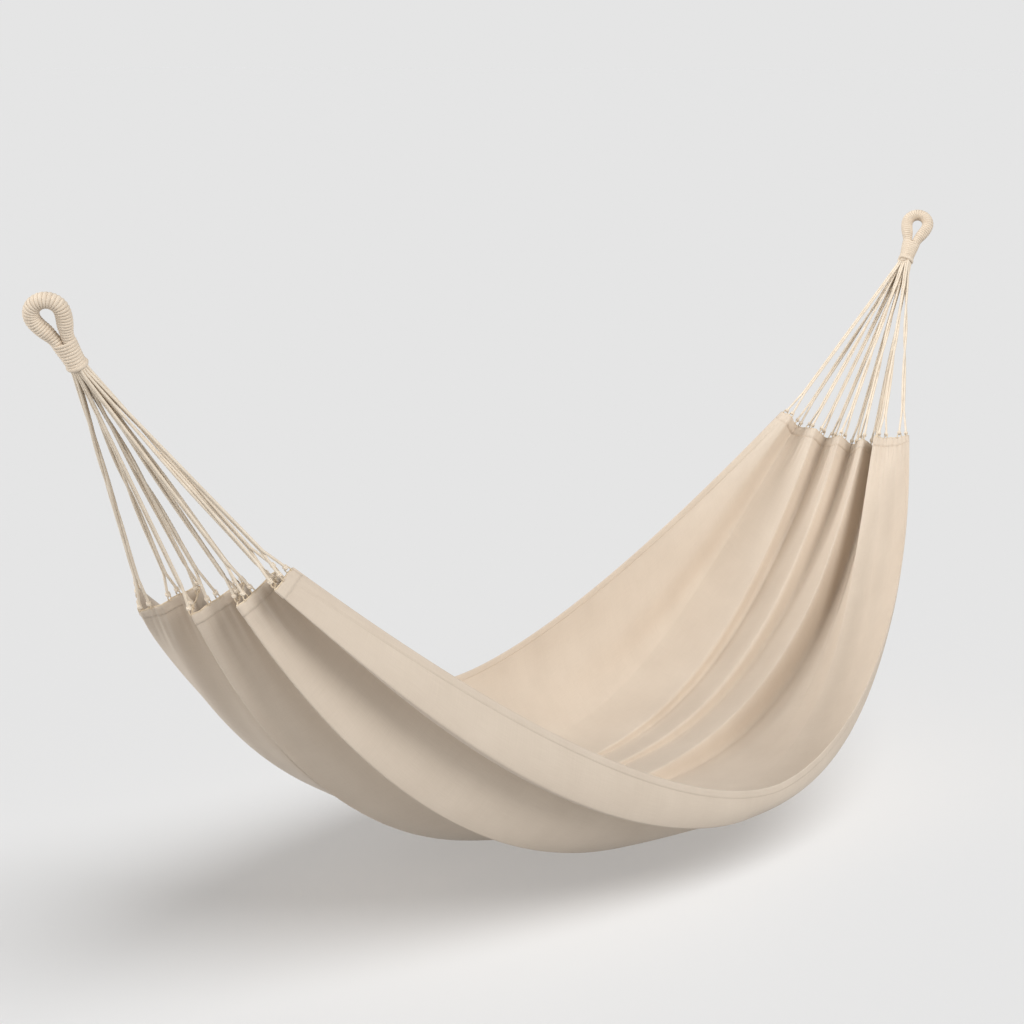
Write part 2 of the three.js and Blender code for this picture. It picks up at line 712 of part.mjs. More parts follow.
const cotton = () => new THREE.MeshStandardMaterial({ color: COTTON, roughness: 0.9, metalness: 0 });
const cord = () => new THREE.MeshStandardMaterial({ color: CORD, roughness: 0.85, metalness: 0 });

const hammock = new THREE.Group();

function addPiece(name, geometry, material) {
  const mesh = new THREE.Mesh(geometry, material);
  mesh.name = name;
  hammock.add(mesh);
}

const innerRows = rowsBetween(
  -endHemStart(LEFT) + endHemGap(LEFT),
  endHemStart(RIGHT) - endHemGap(RIGHT),
  CLOTH_ROWS,
);
addPiece("bed_cloth", panel(innerRows, clothColumns, CLOTH_THICKNESS), cotton());
addPiece("near_side_hem", panel(innerRows, (u) => sideHemColumns(u, 0), HEM_THICKNESS), cotton());
addPiece("far_side_hem", panel(innerRows, (u) => sideHemColumns(u, 1), HEM_THICKNESS), cotton());

[LEFT, RIGHT].forEach((end) => {
  const hemRows = rowsBetween(end.side * endHemStart(end), end.side, 1);
  if (end.side < 0) hemRows.reverse();
  addPiece(end.name + "_end_hem", panel(hemRows, endHemColumns, HEM_THICKNESS), cotton());
  const line = edgeLine(end);
  const rows = fanRows(end, line);
  addPiece(end.name + "_lacing", lacing(end, line), cord());
  for (let k = 0; k < STRING_PAIRS; k++) {
    const number = String(k + 1).padStart(2, "0");
    addPiece(end.name + "_string_" + number, stringPair(end, line, k, rows[k]), cord());
  }
  addPiece(end.name + "_eye_core", eyeCore(end), cord());
  addPiece(end.name + "_eye_winding", eyeWinding(end), cord());
  addPiece(end.name + "_neck_winding", neckWinding(end), cord());
});

// The hook seat is the top of the left eye's hole, on the winding
const leftFrame = eyeFrame(LEFT);
const seatHeight = LOOP_TOP - LOOP_CORE_RADIUS - WIND_SEAT_GAP - WIND_HEIGHT;
const hookSeat = eyePoint(leftFrame, 0, seatHeight);
hammock.position.copy(hookSeat).negate();

const object = new THREE.Group();
object.add(hammock);
export default object;
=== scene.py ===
import json
import math

import bpy
import numpy as np
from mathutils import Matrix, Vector

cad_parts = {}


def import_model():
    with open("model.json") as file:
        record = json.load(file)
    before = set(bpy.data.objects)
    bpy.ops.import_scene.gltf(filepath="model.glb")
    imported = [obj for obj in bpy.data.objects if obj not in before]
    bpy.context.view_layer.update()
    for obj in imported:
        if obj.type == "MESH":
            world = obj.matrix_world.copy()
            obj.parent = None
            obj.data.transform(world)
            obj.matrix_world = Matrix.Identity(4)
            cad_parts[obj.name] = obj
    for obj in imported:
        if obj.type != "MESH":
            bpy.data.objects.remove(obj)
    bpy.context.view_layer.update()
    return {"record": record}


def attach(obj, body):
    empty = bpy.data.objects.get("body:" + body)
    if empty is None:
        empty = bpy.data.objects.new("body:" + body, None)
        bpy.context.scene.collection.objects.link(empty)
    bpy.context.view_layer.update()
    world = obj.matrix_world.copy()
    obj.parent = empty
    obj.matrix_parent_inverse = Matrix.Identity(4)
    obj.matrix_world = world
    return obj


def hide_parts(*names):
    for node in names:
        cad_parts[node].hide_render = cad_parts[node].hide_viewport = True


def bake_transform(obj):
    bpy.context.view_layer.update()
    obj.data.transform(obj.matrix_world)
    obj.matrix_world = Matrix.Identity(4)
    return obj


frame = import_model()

# Hanging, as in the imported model: the pivots are the two hinges
JOINTS = {joint["name"]: joint for joint in frame["record"]["behaviour"]["joints"]}
LEFT_PIVOT = np.array(JOINTS["swing"]["pos_m"])
RIGHT_PIVOT = np.array(JOINTS["right_eye_turn"]["pos_m"])
MID_PIVOT = (LEFT_PIVOT + RIGHT_PIVOT) / 2
STRING_REACH = 0.398

# Middle of the bed, measured from the line between the pivots
NEAR_EDGE_OUT = 0.400
FAR_EDGE_OUT = 0.268
NEAR_EDGE_DROP = 0.737
FAR_EDGE_DROP = 0.667
BELLY_DROP = 0.830
BELLY_SQUARENESS = 2.6
EDGE_SAG_POWER = 1.73
BELLY_SAG_POWER = 3.1

# Cloth
FLAT_WIDTH = 0.84
FLAT_LENGTH = 2.05
CLOTH_THICKNESS = 0.0013
END_HEM_THICKNESS = 0.0030
SIDE_HEM_THICKNESS = 0.0019
STITCH_LENGTH = 0.0032
THREAD_RADIUS = 0.00024
END_HEM_WIDTH = 0.018
SIDE_HEM_WIDTH = 0.012
FOLD_LINE_POWER = 2
FOLD_FADE_POWER = 1.3
FOLD_LEAN = 0.8
FOLD_LEAN_UNTIL = 0.6
FOLD_LEAST_WIDTH = 0.006
FOLD_LEFT_IN_MIDDLE = 0.08
GATHER_DEPTH = 0.0015
WRINKLE_DEPTH = 0.0030
SLACK_DEPTH = 0.0035
SIDE_SEAM_INSET = 0.0025  # from the hem's inner border
END_SEAM_INSET = 0.0030
CLOTH_ROWS = 380
CLOTH_COLUMNS = 460

# Strings, lacing and knots
STRING_PAIRS = 12
STRAND_RADIUS = 0.0020
SPLIT_LENGTH = 0.046
LEG_SPREAD = 0.014
FIRST_PAIR_INSET = 0.014
EDGE_REACH = 0.0057  # the strings' lower bends lie this far beyond the hem
STRAND_LAY = 0.009
STRAND_RIDGE = 0.06
KNOT_RADIUS = 0.0026
KNOT_CORD_RADIUS = 0.0013
KNOT_TURNS = 2.3
LACING_RADIUS = 0.0012
LOOP_CORD_RADIUS = 0.0010

# Eyes
NECK_LENGTH = 0.042
NECK_RADIUS = 0.0110
LOOP_CORE_RADIUS = 0.008
LEG_CORE_RADIUS = 0.0058
LOOP_HALF_WIDTH = 0.0202
LOOP_TOP = 0.107
LEG_OFFSET = 0.0068
LEG_EASE = 0.016
WIND_HEIGHT = 0.0032
WIND_OVERLAP = 0.52  # half a turn's width as a share of the pitch
WIND_SIDES = 10
WIND_STEPS = 18  # for each turn
EYE_TURNS = 40
NECK_TURNS = 9

# Each end: the corners' angles in plan, the dips below level at near corner, middle and far
# corner, the eye's twist, and the fold lines. A line has its place across the cloth at the end
# and in the middle, its depth outwards at the end and in the middle, and its crease's sharpness.
LEFT = dict(
    name="left", side=-1, near=22, far=16, near_dip=50, mid_dip=57, far_dip=60, twist=35,
    pivot=LEFT_PIVOT,
    folds=[
        (0, 0, 0, 0, 0),
        (0.075, 0.07, 0.034, 0.030, 0.5),
        (0.13, 0.085, -0.020, -0.090, 0.3),
        (0.285, 0.235, 0.042, 0.020, 0.5),
        (0.345, 0.25, -0.020, -0.100, 0.3),
        (0.565, 0.47, 0.042, 0.015, 0.5),
        (0.625, 0.485, -0.020, -0.090, 0.3),
        (0.87, 0.84, 0.034, 0.034, 0.1),
        (1, 1, 0, 0, 0),
    ],
)
RIGHT = dict(
    name="right", side=1, near=20, far=17, near_dip=55, mid_dip=55, far_dip=47, twist=-24,
    pivot=RIGHT_PIVOT,
    folds=[
        (0, 0, 0, 0, 0),
        (0.08, 0.08, -0.004, -0.004, 0),
        (0.16, 0.16, -0.012, -0.012, 0),
        (0.25, 0.24, -0.026, -0.030, 0.6),
        (0.31, 0.49, 0.030, 0.080, 0.2),
        (0.355, 0.50, -0.016, -0.060, 0.4),
        (0.49, 0.60, 0.024, 0.010, 0.1),
        (0.535, 0.605, -0.016, -0.030, 0.2),
        (0.685, 0.665, 0.024, 0.010, 0.1),
        (0.73, 0.67, -0.016, -0.030, 0.2),
        (0.885, 0.79, 0.024, 0.080, 0.3),
        (0.94, 0.92, -0.008, -0.008, 0),
        (1, 1, 0, 0, 0),
    ],
)

# Camera, floor and light
CAMERA_FROM_MID_PIVOT = np.array([-3.2734, -2.4021, 0.390])
CAMERA_YAW = math.radians(52.22)
CAMERA_PITCH = math.radians(10.25)
CAMERA_LENS = 87.89  # millimetres, for a 36 mm sensor
FLOOR_BELOW_BED = 0.04
FLOOR_REACH = 300
FLOOR_GREY = 0.783  # the backdrop's linear grey, as it is seen
FLOOR_BOUNCE = 0.5  # its grey for the light that it throws on
WORLD_LIGHT = 0.12
FLOOR_SHADOW = 0.5  # share of the floor's light that the hammock can shade

rad = math.radians
TAU = 2 * math.pi


def lerp(a, b, t):
    return a + (b - a) * t


def smooth(x, low, high):
    t = np.clip((x - low) / (high - low), 0, 1)
    return t * t * (3 - 2 * t)


def unit(v):
    v = np.asarray(v, float)
    return v / np.linalg.norm(v, axis=-1, keepdims=True)


def lengths_along(points):
    """Length of the line up to each of its points."""
    return np.concatenate([[0], np.cumsum(np.linalg.norm(np.diff(points, axis=0), axis=1))])


# Shape of the bed

def middle_section():
    """The bed's section halfway along, a flattened U: place across by length, y and z."""
    angle = np.linspace(0, math.pi, 4001)
    power = 2 / BELLY_SQUARENESS
    across = -np.sign(np.cos(angle)) * np.abs(np.cos(angle)) ** power
    down = np.abs(np.sin(angle)) ** power
    y = (FAR_EDGE_OUT - NEAR_EDGE_OUT) / 2 + (FAR_EDGE_OUT + NEAR_EDGE_OUT) / 2 * across
    rim = -lerp(NEAR_EDGE_DROP, FAR_EDGE_DROP, (across + 1) / 2)
    z = rim + (-BELLY_DROP - rim) * down
    length = np.concatenate([[0], np.cumsum(np.hypot(np.diff(y), np.diff(z)))])
    return length / length[-1], y, z


MIDDLE_PLACE, MIDDLE_Y, MIDDLE_Z = middle_section()


def fan_direction(end, plan, dip):
    """From a pivot down its fan: plan angle towards +Y, and dip below level, in degrees."""
    plan, dip = np.radians(plan), np.radians(dip)
    level = np.cos(plan) * np.cos(dip)
    return np.stack([-end["side"] * level, np.sin(plan), -np.cos(plan) * np.sin(dip)], -1)


def end_point(end, v):
    """End edge of the unfolded bed, on a ball round the pivot: the strings are equally long."""
    plan = lerp(-end["near"], end["far"], v)
    belly = end["mid_dip"] - (end["near_dip"] + end["far_dip"]) / 2
    dip = lerp(end["near_dip"], end["far_dip"], v) + belly * (1 - np.abs(2 * v - 1) ** 3)
    return end["pivot"] + STRING_REACH * fan_direction(end, plan, dip)


def bed_point(u, v):
    """The bed without its folds, u from -1 at the left end to 1, v from the near edge to 1."""
    along = np.abs(u)
    tip = np.where((u < 0)[..., None], end_point(LEFT, v), end_point(RIGHT, v))
    middle_y = MID_PIVOT[1] + np.interp(v, MIDDLE_PLACE, MIDDLE_Y)
    middle_z = MID_PIVOT[2] + np.interp(v, MIDDLE_PLACE, MIDDLE_Z)
    belly = np.minimum(1, (1 - (2 * v - 1) ** 2) * 1.15)
    sag = along ** lerp(EDGE_SAG_POWER, BELLY_SAG_POWER, belly)
    return np.stack(
        [
            lerp(MID_PIVOT[0], tip[..., 0], along),
            lerp(middle_y, tip[..., 1], along**2),
            lerp(middle_z, tip[..., 2], sag),
        ],
        -1,
    )


def surface_normal(surface, u, v, step=1e-3):
    """Outward normal of a surface given as a function of u and v."""
    u = np.clip(u, -1 + step, 1 - step)
    v = np.clip(v, step, 1 - step)
    along = surface(u + step, v) - surface(u - step, v)
    across = surface(u, v + step) - surface(u, v - step)
    return unit(np.cross(across, along))


def crease(t, sharp_from, sharp_to):
    """Ease from 0 to 1, with a crease of the given sharpness at each end."""
    round_both = (1 - np.cos(math.pi * t)) / 2
    round_to = np.sin(math.pi * t / 2)
    round_from = 1 - np.cos(math.pi * t / 2)
    return (
        (1 - sharp_from) * (1 - sharp_to) * round_both
        + sharp_from * (1 - sharp_to) * round_to
        + (1 - sharp_from) * sharp_to * round_from
        + sharp_from * sharp_to * t
    )


def fold_lean(along):
    """How far a fold leans across the cloth for each metre of its depth."""
    return FOLD_LEAN * (1 - smooth(along, FOLD_LEAN_UNTIL, 1.0))


def fold_fade(along):
    """Share of their depth that the folds have, from the middle to the end."""
    fade = FOLD_LEFT_IN_MIDDLE + (1 - FOLD_LEFT_IN_MIDDLE) * along**FOLD_FADE_POWER
    return fade * smooth(along, 0, 0.12)


def fold_lines(end):
    """Where each fold line starts in the flat cloth, so that its leaning crest ends in place."""
    places = []
    for at_end, in_middle, deep_end, deep_middle, _ in end["folds"]:
        place = lerp(in_middle, at_end, ALONG**FOLD_LINE_POWER)
        depth = lerp(deep_middle, deep_end, ALONG) * fold_fade(ALONG)
        low, high = np.clip(place - 0.01, 0, 1), np.clip(place + 0.01, 0, 1)
        across = bed_point(end["side"] * ALONG, high) - bed_point(end["side"] * ALONG, low)
        width = np.linalg.norm(across, axis=-1) / (high - low)
        places.append(place - depth * fold_lean(ALONG) / width)
    for before, after in zip(places, places[1:]):
        np.maximum(after, before + FOLD_LEAST_WIDTH, out=after)
    return places


ALONG = np.linspace(0, 1, 201)
LEFT["lines"] = fold_lines(LEFT)
RIGHT["lines"] = fold_lines(RIGHT)


def end_folds(end, along, v):
    """How far one end's fold lines push the cloth outwards, before they fade."""
    depth = np.zeros_like(v)
    for k, (before, after) in enumerate(zip(end["folds"], end["folds"][1:])):
        start = np.interp(along, ALONG, end["lines"][k])
        stop = np.interp(along, ALONG, end["lines"][k + 1])
        t = np.clip((v - start) / (stop - start), 0, 1)
        low, high = lerp(before[3], before[2], along), lerp(after[3], after[2], along)
        here = lerp(low, high, crease(t, before[4], after[4]))
        depth = np.where((v >= start) & (v <= stop), here, depth)
    return depth


def fold_depth(u, v):
    along = np.abs(u)
    folds = np.where(u < 0, end_folds(LEFT, along, v), end_folds(RIGHT, along, v))
    return folds * fold_fade(along)


def ripple(u, v, seed, count, low, high, drift):
    """Sum of waves across the cloth whose phases drift slowly along it, about 1 at most."""
    rng = np.random.default_rng(seed)
    total = np.zeros(np.broadcast(u, v).shape)
    for _ in range(count):
        waves, phase, turn = rng.uniform(low, high), rng.uniform(0, TAU), rng.uniform(-drift, drift)
        total = total + np.sin(TAU * waves * v + phase + turn * u)
    return total / count


def fine_folds(u, v):
    """Gathers at the end hems, long soft wrinkles that run in from the ends, and a slack middle."""
    along = np.abs(u)
    gathers = ripple(u, v, 11, 5, 30, 48, 2) * GATHER_DEPTH * smooth(along, 0.9, 1.0) ** 1.5
    inwards = smooth(along, 0.1, 0.95) * smooth(v, 0.1, 0.4)
    wrinkles = ripple(u, v, 12, 6, 6, 13, 3) * WRINKLE_DEPTH * inwards
    slack = ripple(u * 2, v, 13, 4, 1, 4, 4) * SLACK_DEPTH * (1 - smooth(along, 0.5, 0.9))
    edges = smooth(v, 0, 0.05) * smooth(1 - v, 0, 0.05)
    return gathers * lerp(0.4, 1, edges) + (wrinkles + slack) * edges


def bed_surface(u, v):
    folds = fold_depth(u, v)
    normal = surface_normal(bed_point, u, v)
    low, high = np.clip(v - 1e-3, 0, 1), np.clip(v + 1e-3, 0, 1)
    across = unit(bed_point(u, high) - bed_point(u, low))
    lift = normal * (folds + fine_folds(u, v))[..., None]
    return bed_point(u, v) + lift + across * (folds * fold_lean(np.abs(u)))[..., None]


# Meshes

class Mesh:
    """Vertices and faces of one piece, gathered from several closed bodies."""

    def __init__(self):
        self.vertices = []
        self.faces = []
        self.uvs = []

    def add(self, vertices, faces, uvs=None):
        start = len(self.vertices)
        self.vertices.extend(np.asarray(vertices, float).tolist())
        self.faces.extend([[start + i for i in face] for face in faces])
        self.uvs.extend(uvs.tolist() if uvs is not None else [[0, 0]] * len(vertices))

    def make(self, name, material, slot, body, *nodes):
        data = bpy.data.meshes.new(name)
        data.from_pydata(self.vertices, [], self.faces)
        layer = data.uv_layers.new(name="cloth")
        corners = np.zeros(len(data.loops), int)
        data.loops.foreach_get("vertex_index", corners)
        layer.data.foreach_set("uv", np.array(self.uvs, np.float32)[corners].ravel())
        data.polygons.foreach_set("use_smooth", [True] * len(data.polygons))
        data.materials.append(material)
        data.update()
        piece = bpy.data.objects.new(name, data)
        bpy.context.scene.collection.objects.link(piece)
        if body:
            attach(piece, body)
        if nodes:
            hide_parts(*nodes)
        return piece


def ring_faces(rings, sides):
    """Faces that join rings of points side by side, with both ends closed, facing out."""
    faces = []
    for i in range(rings - 1):
        for j in range(sides):
            a, b = i * sides + j, i * sides + (j + 1) % sides
            faces.append([a, b, b + sides, a + sides])
    last = (rings - 1) * sides
    faces.append(list(range(sides))[::-1])
    faces.append([last + j for j in range(sides)])
    return faces


def headings(points):
    return unit(np.gradient(points, axis=0))


def tube(mesh, points, radius, sides=8, strands=0, lay=0.01, depth=0.1):
    """Closed tube along points. With strands it has the twisted ridges of a laid cord."""
    points = np.asarray(points, float)
    heading = headings(points)
    across = np.cross(heading[0], [0.31, 0.87, 0.38])
    angle = np.arange(sides) * TAU / sides
    length = lengths_along(points)
    radii = np.broadcast_to(radius, len(points))
    rings = []
    for p, h, s, r in zip(points, heading, length, radii):
        across = unit(across - h * np.dot(across, h))
        up = np.cross(h, across)
        reach = r * (1 + depth * np.cos(strands * (angle - TAU * s / lay))) if strands else r
        ring = across * np.cos(angle)[:, None] + up * np.sin(angle)[:, None]
        rings.append(p + ring * np.broadcast_to(reach, sides)[:, None])
    mesh.add(np.concatenate(rings), ring_faces(len(points), sides))


def resample(points, step):
    points = np.asarray(points, float)
    length = lengths_along(points)
    at = np.linspace(0, length[-1], max(2, int(round(length[-1] / step)) + 1))
    return np.stack([np.interp(at, length, points[:, k]) for k in range(3)], -1)


# Materials

def nodes_of(name):
    material = bpy.data.materials.new(name)
    material.use_nodes = True
    tree = material.node_tree
    shader = tree.nodes["Principled BSDF"]

    def node(kind, **values):
        made = tree.nodes.new("ShaderNode" + kind)
        for key, value in values.items():
            if key in made.inputs:
                made.inputs[key].default_value = value
            else:
                setattr(made, key, value)
        return made

    return material, tree, shader, node


def cloth_material():
    """Undyed plain-woven cotton: two sets of threads, slubs and faint patches."""
    material, tree, shader, node = nodes_of("cotton_cloth")
    link = tree.links.new
    place = node("UVMap", uv_map="cloth")
    threads = []
    for turn in (0, 1):
        stretch = (900.0, 28.0, 1.0) if turn == 0 else (28.0, 900.0, 1.0)
        scaled = node("Mapping")
        scaled.inputs["Scale"].default_value = stretch
        link(place.outputs["UV"], scaled.inputs["Vector"])
        slub = node("TexNoise", Scale=1.0, Detail=2.0, Roughness=0.6)
        link(scaled.outputs["Vector"], slub.inputs["Vector"])
        threads.append(slub)
    woven = node("Math", operation="ADD")
    link(threads[0].outputs["Fac"], woven.inputs[0])
    link(threads[1].outputs["Fac"], woven.inputs[1])
    patches = node("TexNoise", Scale=9.0, Detail=4.0, Roughness=0.55)
    link(place.outputs["UV"], patches.inputs["Vector"])
    patch_share = node("Math", operation="MULTIPLY")
    link(patches.outputs["Fac"], patch_share.inputs[0])
    patch_share.inputs[1].default_value = 0.5
    tone = node("Math", operation="MULTIPLY_ADD")
    link(woven.outputs[0], tone.inputs[0])
    tone.inputs[1].default_value = 0.25
    link(patch_share.outputs[0], tone.inputs[2])
    ramp = node("ValToRGB")
    ramp.color_ramp.elements[0].position = 0.3
    ramp.color_ramp.elements[0].color = (0.60, 0.505, 0.408, 1)
    ramp.color_ramp.elements[1].position = 0.7
    ramp.color_ramp.elements[1].color = (0.69, 0.592, 0.486, 1)
    link(tone.outputs[0], ramp.inputs["Fac"])
    link(ramp.outputs["Color"], shader.inputs["Base Color"])
    bump = node("Bump", Strength=0.25, Distance=0.0006)
    link(woven.outputs[0], bump.inputs["Height"])
    link(bump.outputs["Normal"], shader.inputs["Normal"])
    shader.inputs["Roughness"].default_value = 0.9
    shader.inputs["Sheen Weight"].default_value = 0.15
    shader.inputs["Sheen Roughness"].default_value = 0.5
    shader.inputs["Specular IOR Level"].default_value = 0.2
    return material


def cord_material(name, dark, light, fibre=900.0):
    """Twisted cotton cord: fine fibres, with darker and lighter yarns."""
    material, tree, shader, node = nodes_of(name)
    link = tree.links.new
    place = node("TexCoord")
    fibres = node("TexNoise", Scale=fibre, Detail=3.0, Roughness=0.7)
    yarns = node("TexNoise", Scale=60.0, Detail=2.0, Roughness=0.5)
    for texture in (fibres, yarns):
        link(place.outputs["Object"], texture.inputs["Vector"])
    yarn_share = node("Math", operation="MULTIPLY")
    link(yarns.outputs["Fac"], yarn_share.inputs[0])
    yarn_share.inputs[1].default_value = 0.5
    both = node("Math", operation="MULTIPLY_ADD")
    link(fibres.outputs["Fac"], both.inputs[0])
    both.inputs[1].default_value = 0.5
    link(yarn_share.outputs[0], both.inputs[2])
    ramp = node("ValToRGB")
    ramp.color_ramp.elements[0].position = 0.35
    ramp.color_ramp.elements[0].color = (*dark, 1)
    ramp.color_ramp.elements[1].position = 0.65
    ramp.color_ramp.elements[1].color = (*light, 1)
    link(both.outputs[0], ramp.inputs["Fac"])
    link(ramp.outputs["Color"], shader.inputs["Base Color"])
    bump = node("Bump", Strength=0.35, Distance=0.0005)
    link(fibres.outputs["Fac"], bump.inputs["Height"])
    link(bump.outputs["Normal"], shader.inputs["Normal"])
    shader.inputs["Roughness"].default_value = 0.88
    shader.inputs["Sheen Weight"].default_value = 0.2
    shader.inputs["Specular IOR Level"].default_value = 0.2
    return material


CLOTH = cloth_material()
CORD = cord_material("cotton_cord", (0.70, 0.60, 0.48), (0.82, 0.72, 0.59))
WOUND = cord_material("wound_cord", (0.66, 0.55, 0.43), (0.78, 0.67, 0.54))
LACING = cord_material("lacing_cord", (0.60, 0.48, 0.34), (0.73, 0.61, 0.45))
THREAD = cord_material("sewing_thread", (0.58, 0.48, 0.38), (0.68, 0.58, 0.47))


# Bed

def thick_grid(mesh, outer, inner, uv):
    """Closed sheet between two grids of points, which share their borders."""
    rows, columns = outer.shape[:2]
    index = np.arange(rows * columns).reshape(rows, columns)
    quads = np.stack([index[:-1, :-1], index[:-1, 1:], index[1:, 1:], index[1:, :-1]], -1)
    quads = quads.reshape(-1, 4)
    back = rows * columns
    border = np.concatenate([index[0, :-1], index[:-1, -1], index[-1, :0:-1], index[:0:-1, 0]])
    rim = np.stack([border, border + back, np.roll(border, -1) + back, np.roll(border, -1)], -1)
    faces = np.concatenate([quads, quads[:, ::-1] + back, rim])
    points = np.concatenate([outer.reshape(-1, 3), inner.reshape(-1, 3)])
    flat = uv.reshape(-1, 2)
    mesh.add(points, faces.tolist(), np.concatenate([flat, flat]))


def bed_cloth():
    us = np.linspace(-1, 1, CLOTH_ROWS)
    vs = np.linspace(0, 1, CLOTH_COLUMNS)
    u, v = (grid.copy() for grid in np.meshgrid(us, vs, indexing="ij"))
    middle = bed_surface(u, v)
    normal = unit(np.cross(np.gradient(middle, axis=1), np.gradient(middle, axis=0)))
    mesh = Mesh()
    uv = np.stack([v * FLAT_WIDTH, (u + 1) / 2 * FLAT_LENGTH], -1)
    thick_grid(
        mesh, middle + normal * CLOTH_THICKNESS / 2, middle - normal * CLOTH_THICKNESS / 2, uv
    )
    return mesh.make("bed_cloth_sheet", CLOTH, "cotton_cloth", "bed", "bed_cloth")


# Outline of a folded hem: distance in from the edge as a share of its width, and height
HEM_SECTION = [(0, 0.8), (0.03, 1), (0.3, 1), (0.7, 1), (0.97, 0.98), (1.0, 0.5)]
HEM_NOSE = 0.0012
EDGE_STEP = 2e-3  # share of the sheet over which an edge's scale is measured


def side_place(edge):
    """Along one long edge: t from 0 to 1 and metres in from the edge give u and v."""
    us = np.linspace(-1, 1, CLOTH_ROWS)
    sign = 1 - 2 * edge
    inner = bed_surface(us, np.full_like(us, edge + sign * EDGE_STEP))
    step = bed_surface(us, np.full_like(us, edge)) - inner
    metres = EDGE_STEP / np.linalg.norm(step, axis=-1)

    def place(t, distance):
        u = 2 * t - 1
        return u, edge + sign * distance * np.interp(u, us, metres)

    return place


def end_place(end):
    """Along one end edge, in the same way."""
    vs = np.linspace(0, 1, CLOTH_COLUMNS)
    side = float(end["side"])
    inner = bed_surface(np.full_like(vs, side * (1 - EDGE_STEP)), vs)
    step = bed_surface(np.full_like(vs, side), vs) - inner
    metres = EDGE_STEP / np.linalg.norm(step, axis=-1)

    def place(t, distance):
        return side * (1 - distance * np.interp(t, vs, metres)), t + 0 * distance

    return place


def hem(name, node, place, width, thickness, count):
    """Strip of cloth turned over along an edge."""
    t = np.linspace(0, 1, count)
    edge = bed_surface(*place(t, 0.0))
    nose = edge + unit(edge - bed_surface(*place(t, 0.003))) * HEM_NOSE
    faces = {1: [], -1: []}
    for share, height in HEM_SECTION:
        u, v = place(t, share * width)
        lift = surface_normal(bed_surface, u, v, 5e-4) * (height * thickness / 2)
        for sign in faces:
            faces[sign].append(bed_surface(u, v) + lift * sign)
    rings = np.stack([nose] + faces[1] + faces[-1][::-1], 1)
    mesh = Mesh()
    run = np.linspace(0, FLAT_LENGTH, count)
    across = np.linspace(0, 2 * width, rings.shape[1])
    uv = np.stack(np.meshgrid(across, run), -1)
    mesh.add(rings.reshape(-1, 3), ring_faces(*rings.shape[:2]), uv.reshape(-1, 2))
    return mesh.make(name + "_fold", CLOTH, "cotton_hem", "bed", node)


def seam(name, place, distance, thickness, length):
    """Thread of one row of stitches, which goes over and under the hem."""
    stitches = int(length / STITCH_LENGTH)
    t = np.linspace(0.001, 0.999, stitches * 8)
    u, v = place(t, distance)
    wave = np.sin(np.arange(len(t)) * TAU / 16)
    height = np.clip(wave * 2.5, -1, 1) * (thickness / 2 + THREAD_RADIUS * 0.6)
    line = bed_surface(u, v) + surface_normal(bed_surface, u, v, 5e-4) * height[:, None]
    mesh = Mesh()
    tube(mesh, line, THREAD_RADIUS, sides=5)
    return mesh.make(name + "_seam_thread", THREAD, "cotton_cord", "bed")


def hems():
    pieces = []
    for name, edge in (("near_side_hem", 0), ("far_side_hem", 1)):
        place = side_place(edge)
        pieces.append(hem(name, name, place, SIDE_HEM_WIDTH, SIDE_HEM_THICKNESS, CLOTH_ROWS))
        pieces.append(seam(name, place, SIDE_HEM_WIDTH - SIDE_SEAM_INSET, SIDE_HEM_THICKNESS, FLAT_LENGTH))
    for end in (LEFT, RIGHT):
        name = end["name"] + "_end_hem"
        place = end_place(end)
        pieces.append(hem(name, name, place, END_HEM_WIDTH, END_HEM_THICKNESS, CLOTH_COLUMNS))
        length = edge_line(end)[1]
        pieces.append(seam(name, place, END_HEM_WIDTH - END_SEAM_INSET, END_HEM_THICKNESS, length))
    return pieces


# Strings

def eye_frame(end):
    """Axes of one end's neck and eye: down the fan, across the eye, and out of its plane."""
    plan = (end["far"] - end["near"]) / 2
    down = unit(fan_direction(end, plan, end["mid_dip"]))
    side = unit(np.array([0, 1, 0]) - down * down[1])
    depth = unit(np.cross(down, side) * end["side"])
    twist = rad(end["twist"])
    across = unit(side * math.cos(twist) + depth * math.sin(twist))
    return dict(down=down, side=side, depth=depth, across=across, out=unit(np.cross(down, across)))


def edge_line(end, samples=1500):
    """The line just beyond the end hem, by length."""
    v = np.linspace(0, 1, samples)
    edge = bed_surface(np.full_like(v, float(end["side"])), v)
    points = edge + unit(end["pivot"] - edge) * EDGE_REACH
    length = lengths_along(points)

    def at(want):
        return np.stack([np.interp(want, length, points[:, k]) for k in range(3)], -1)

    return at, length[-1]


def string_places(length):
    """Where the pairs meet the edge, as lengths along it."""
    return np.linspace(FIRST_PAIR_INSET, length - FIRST_PAIR_INSET, STRING_PAIRS)


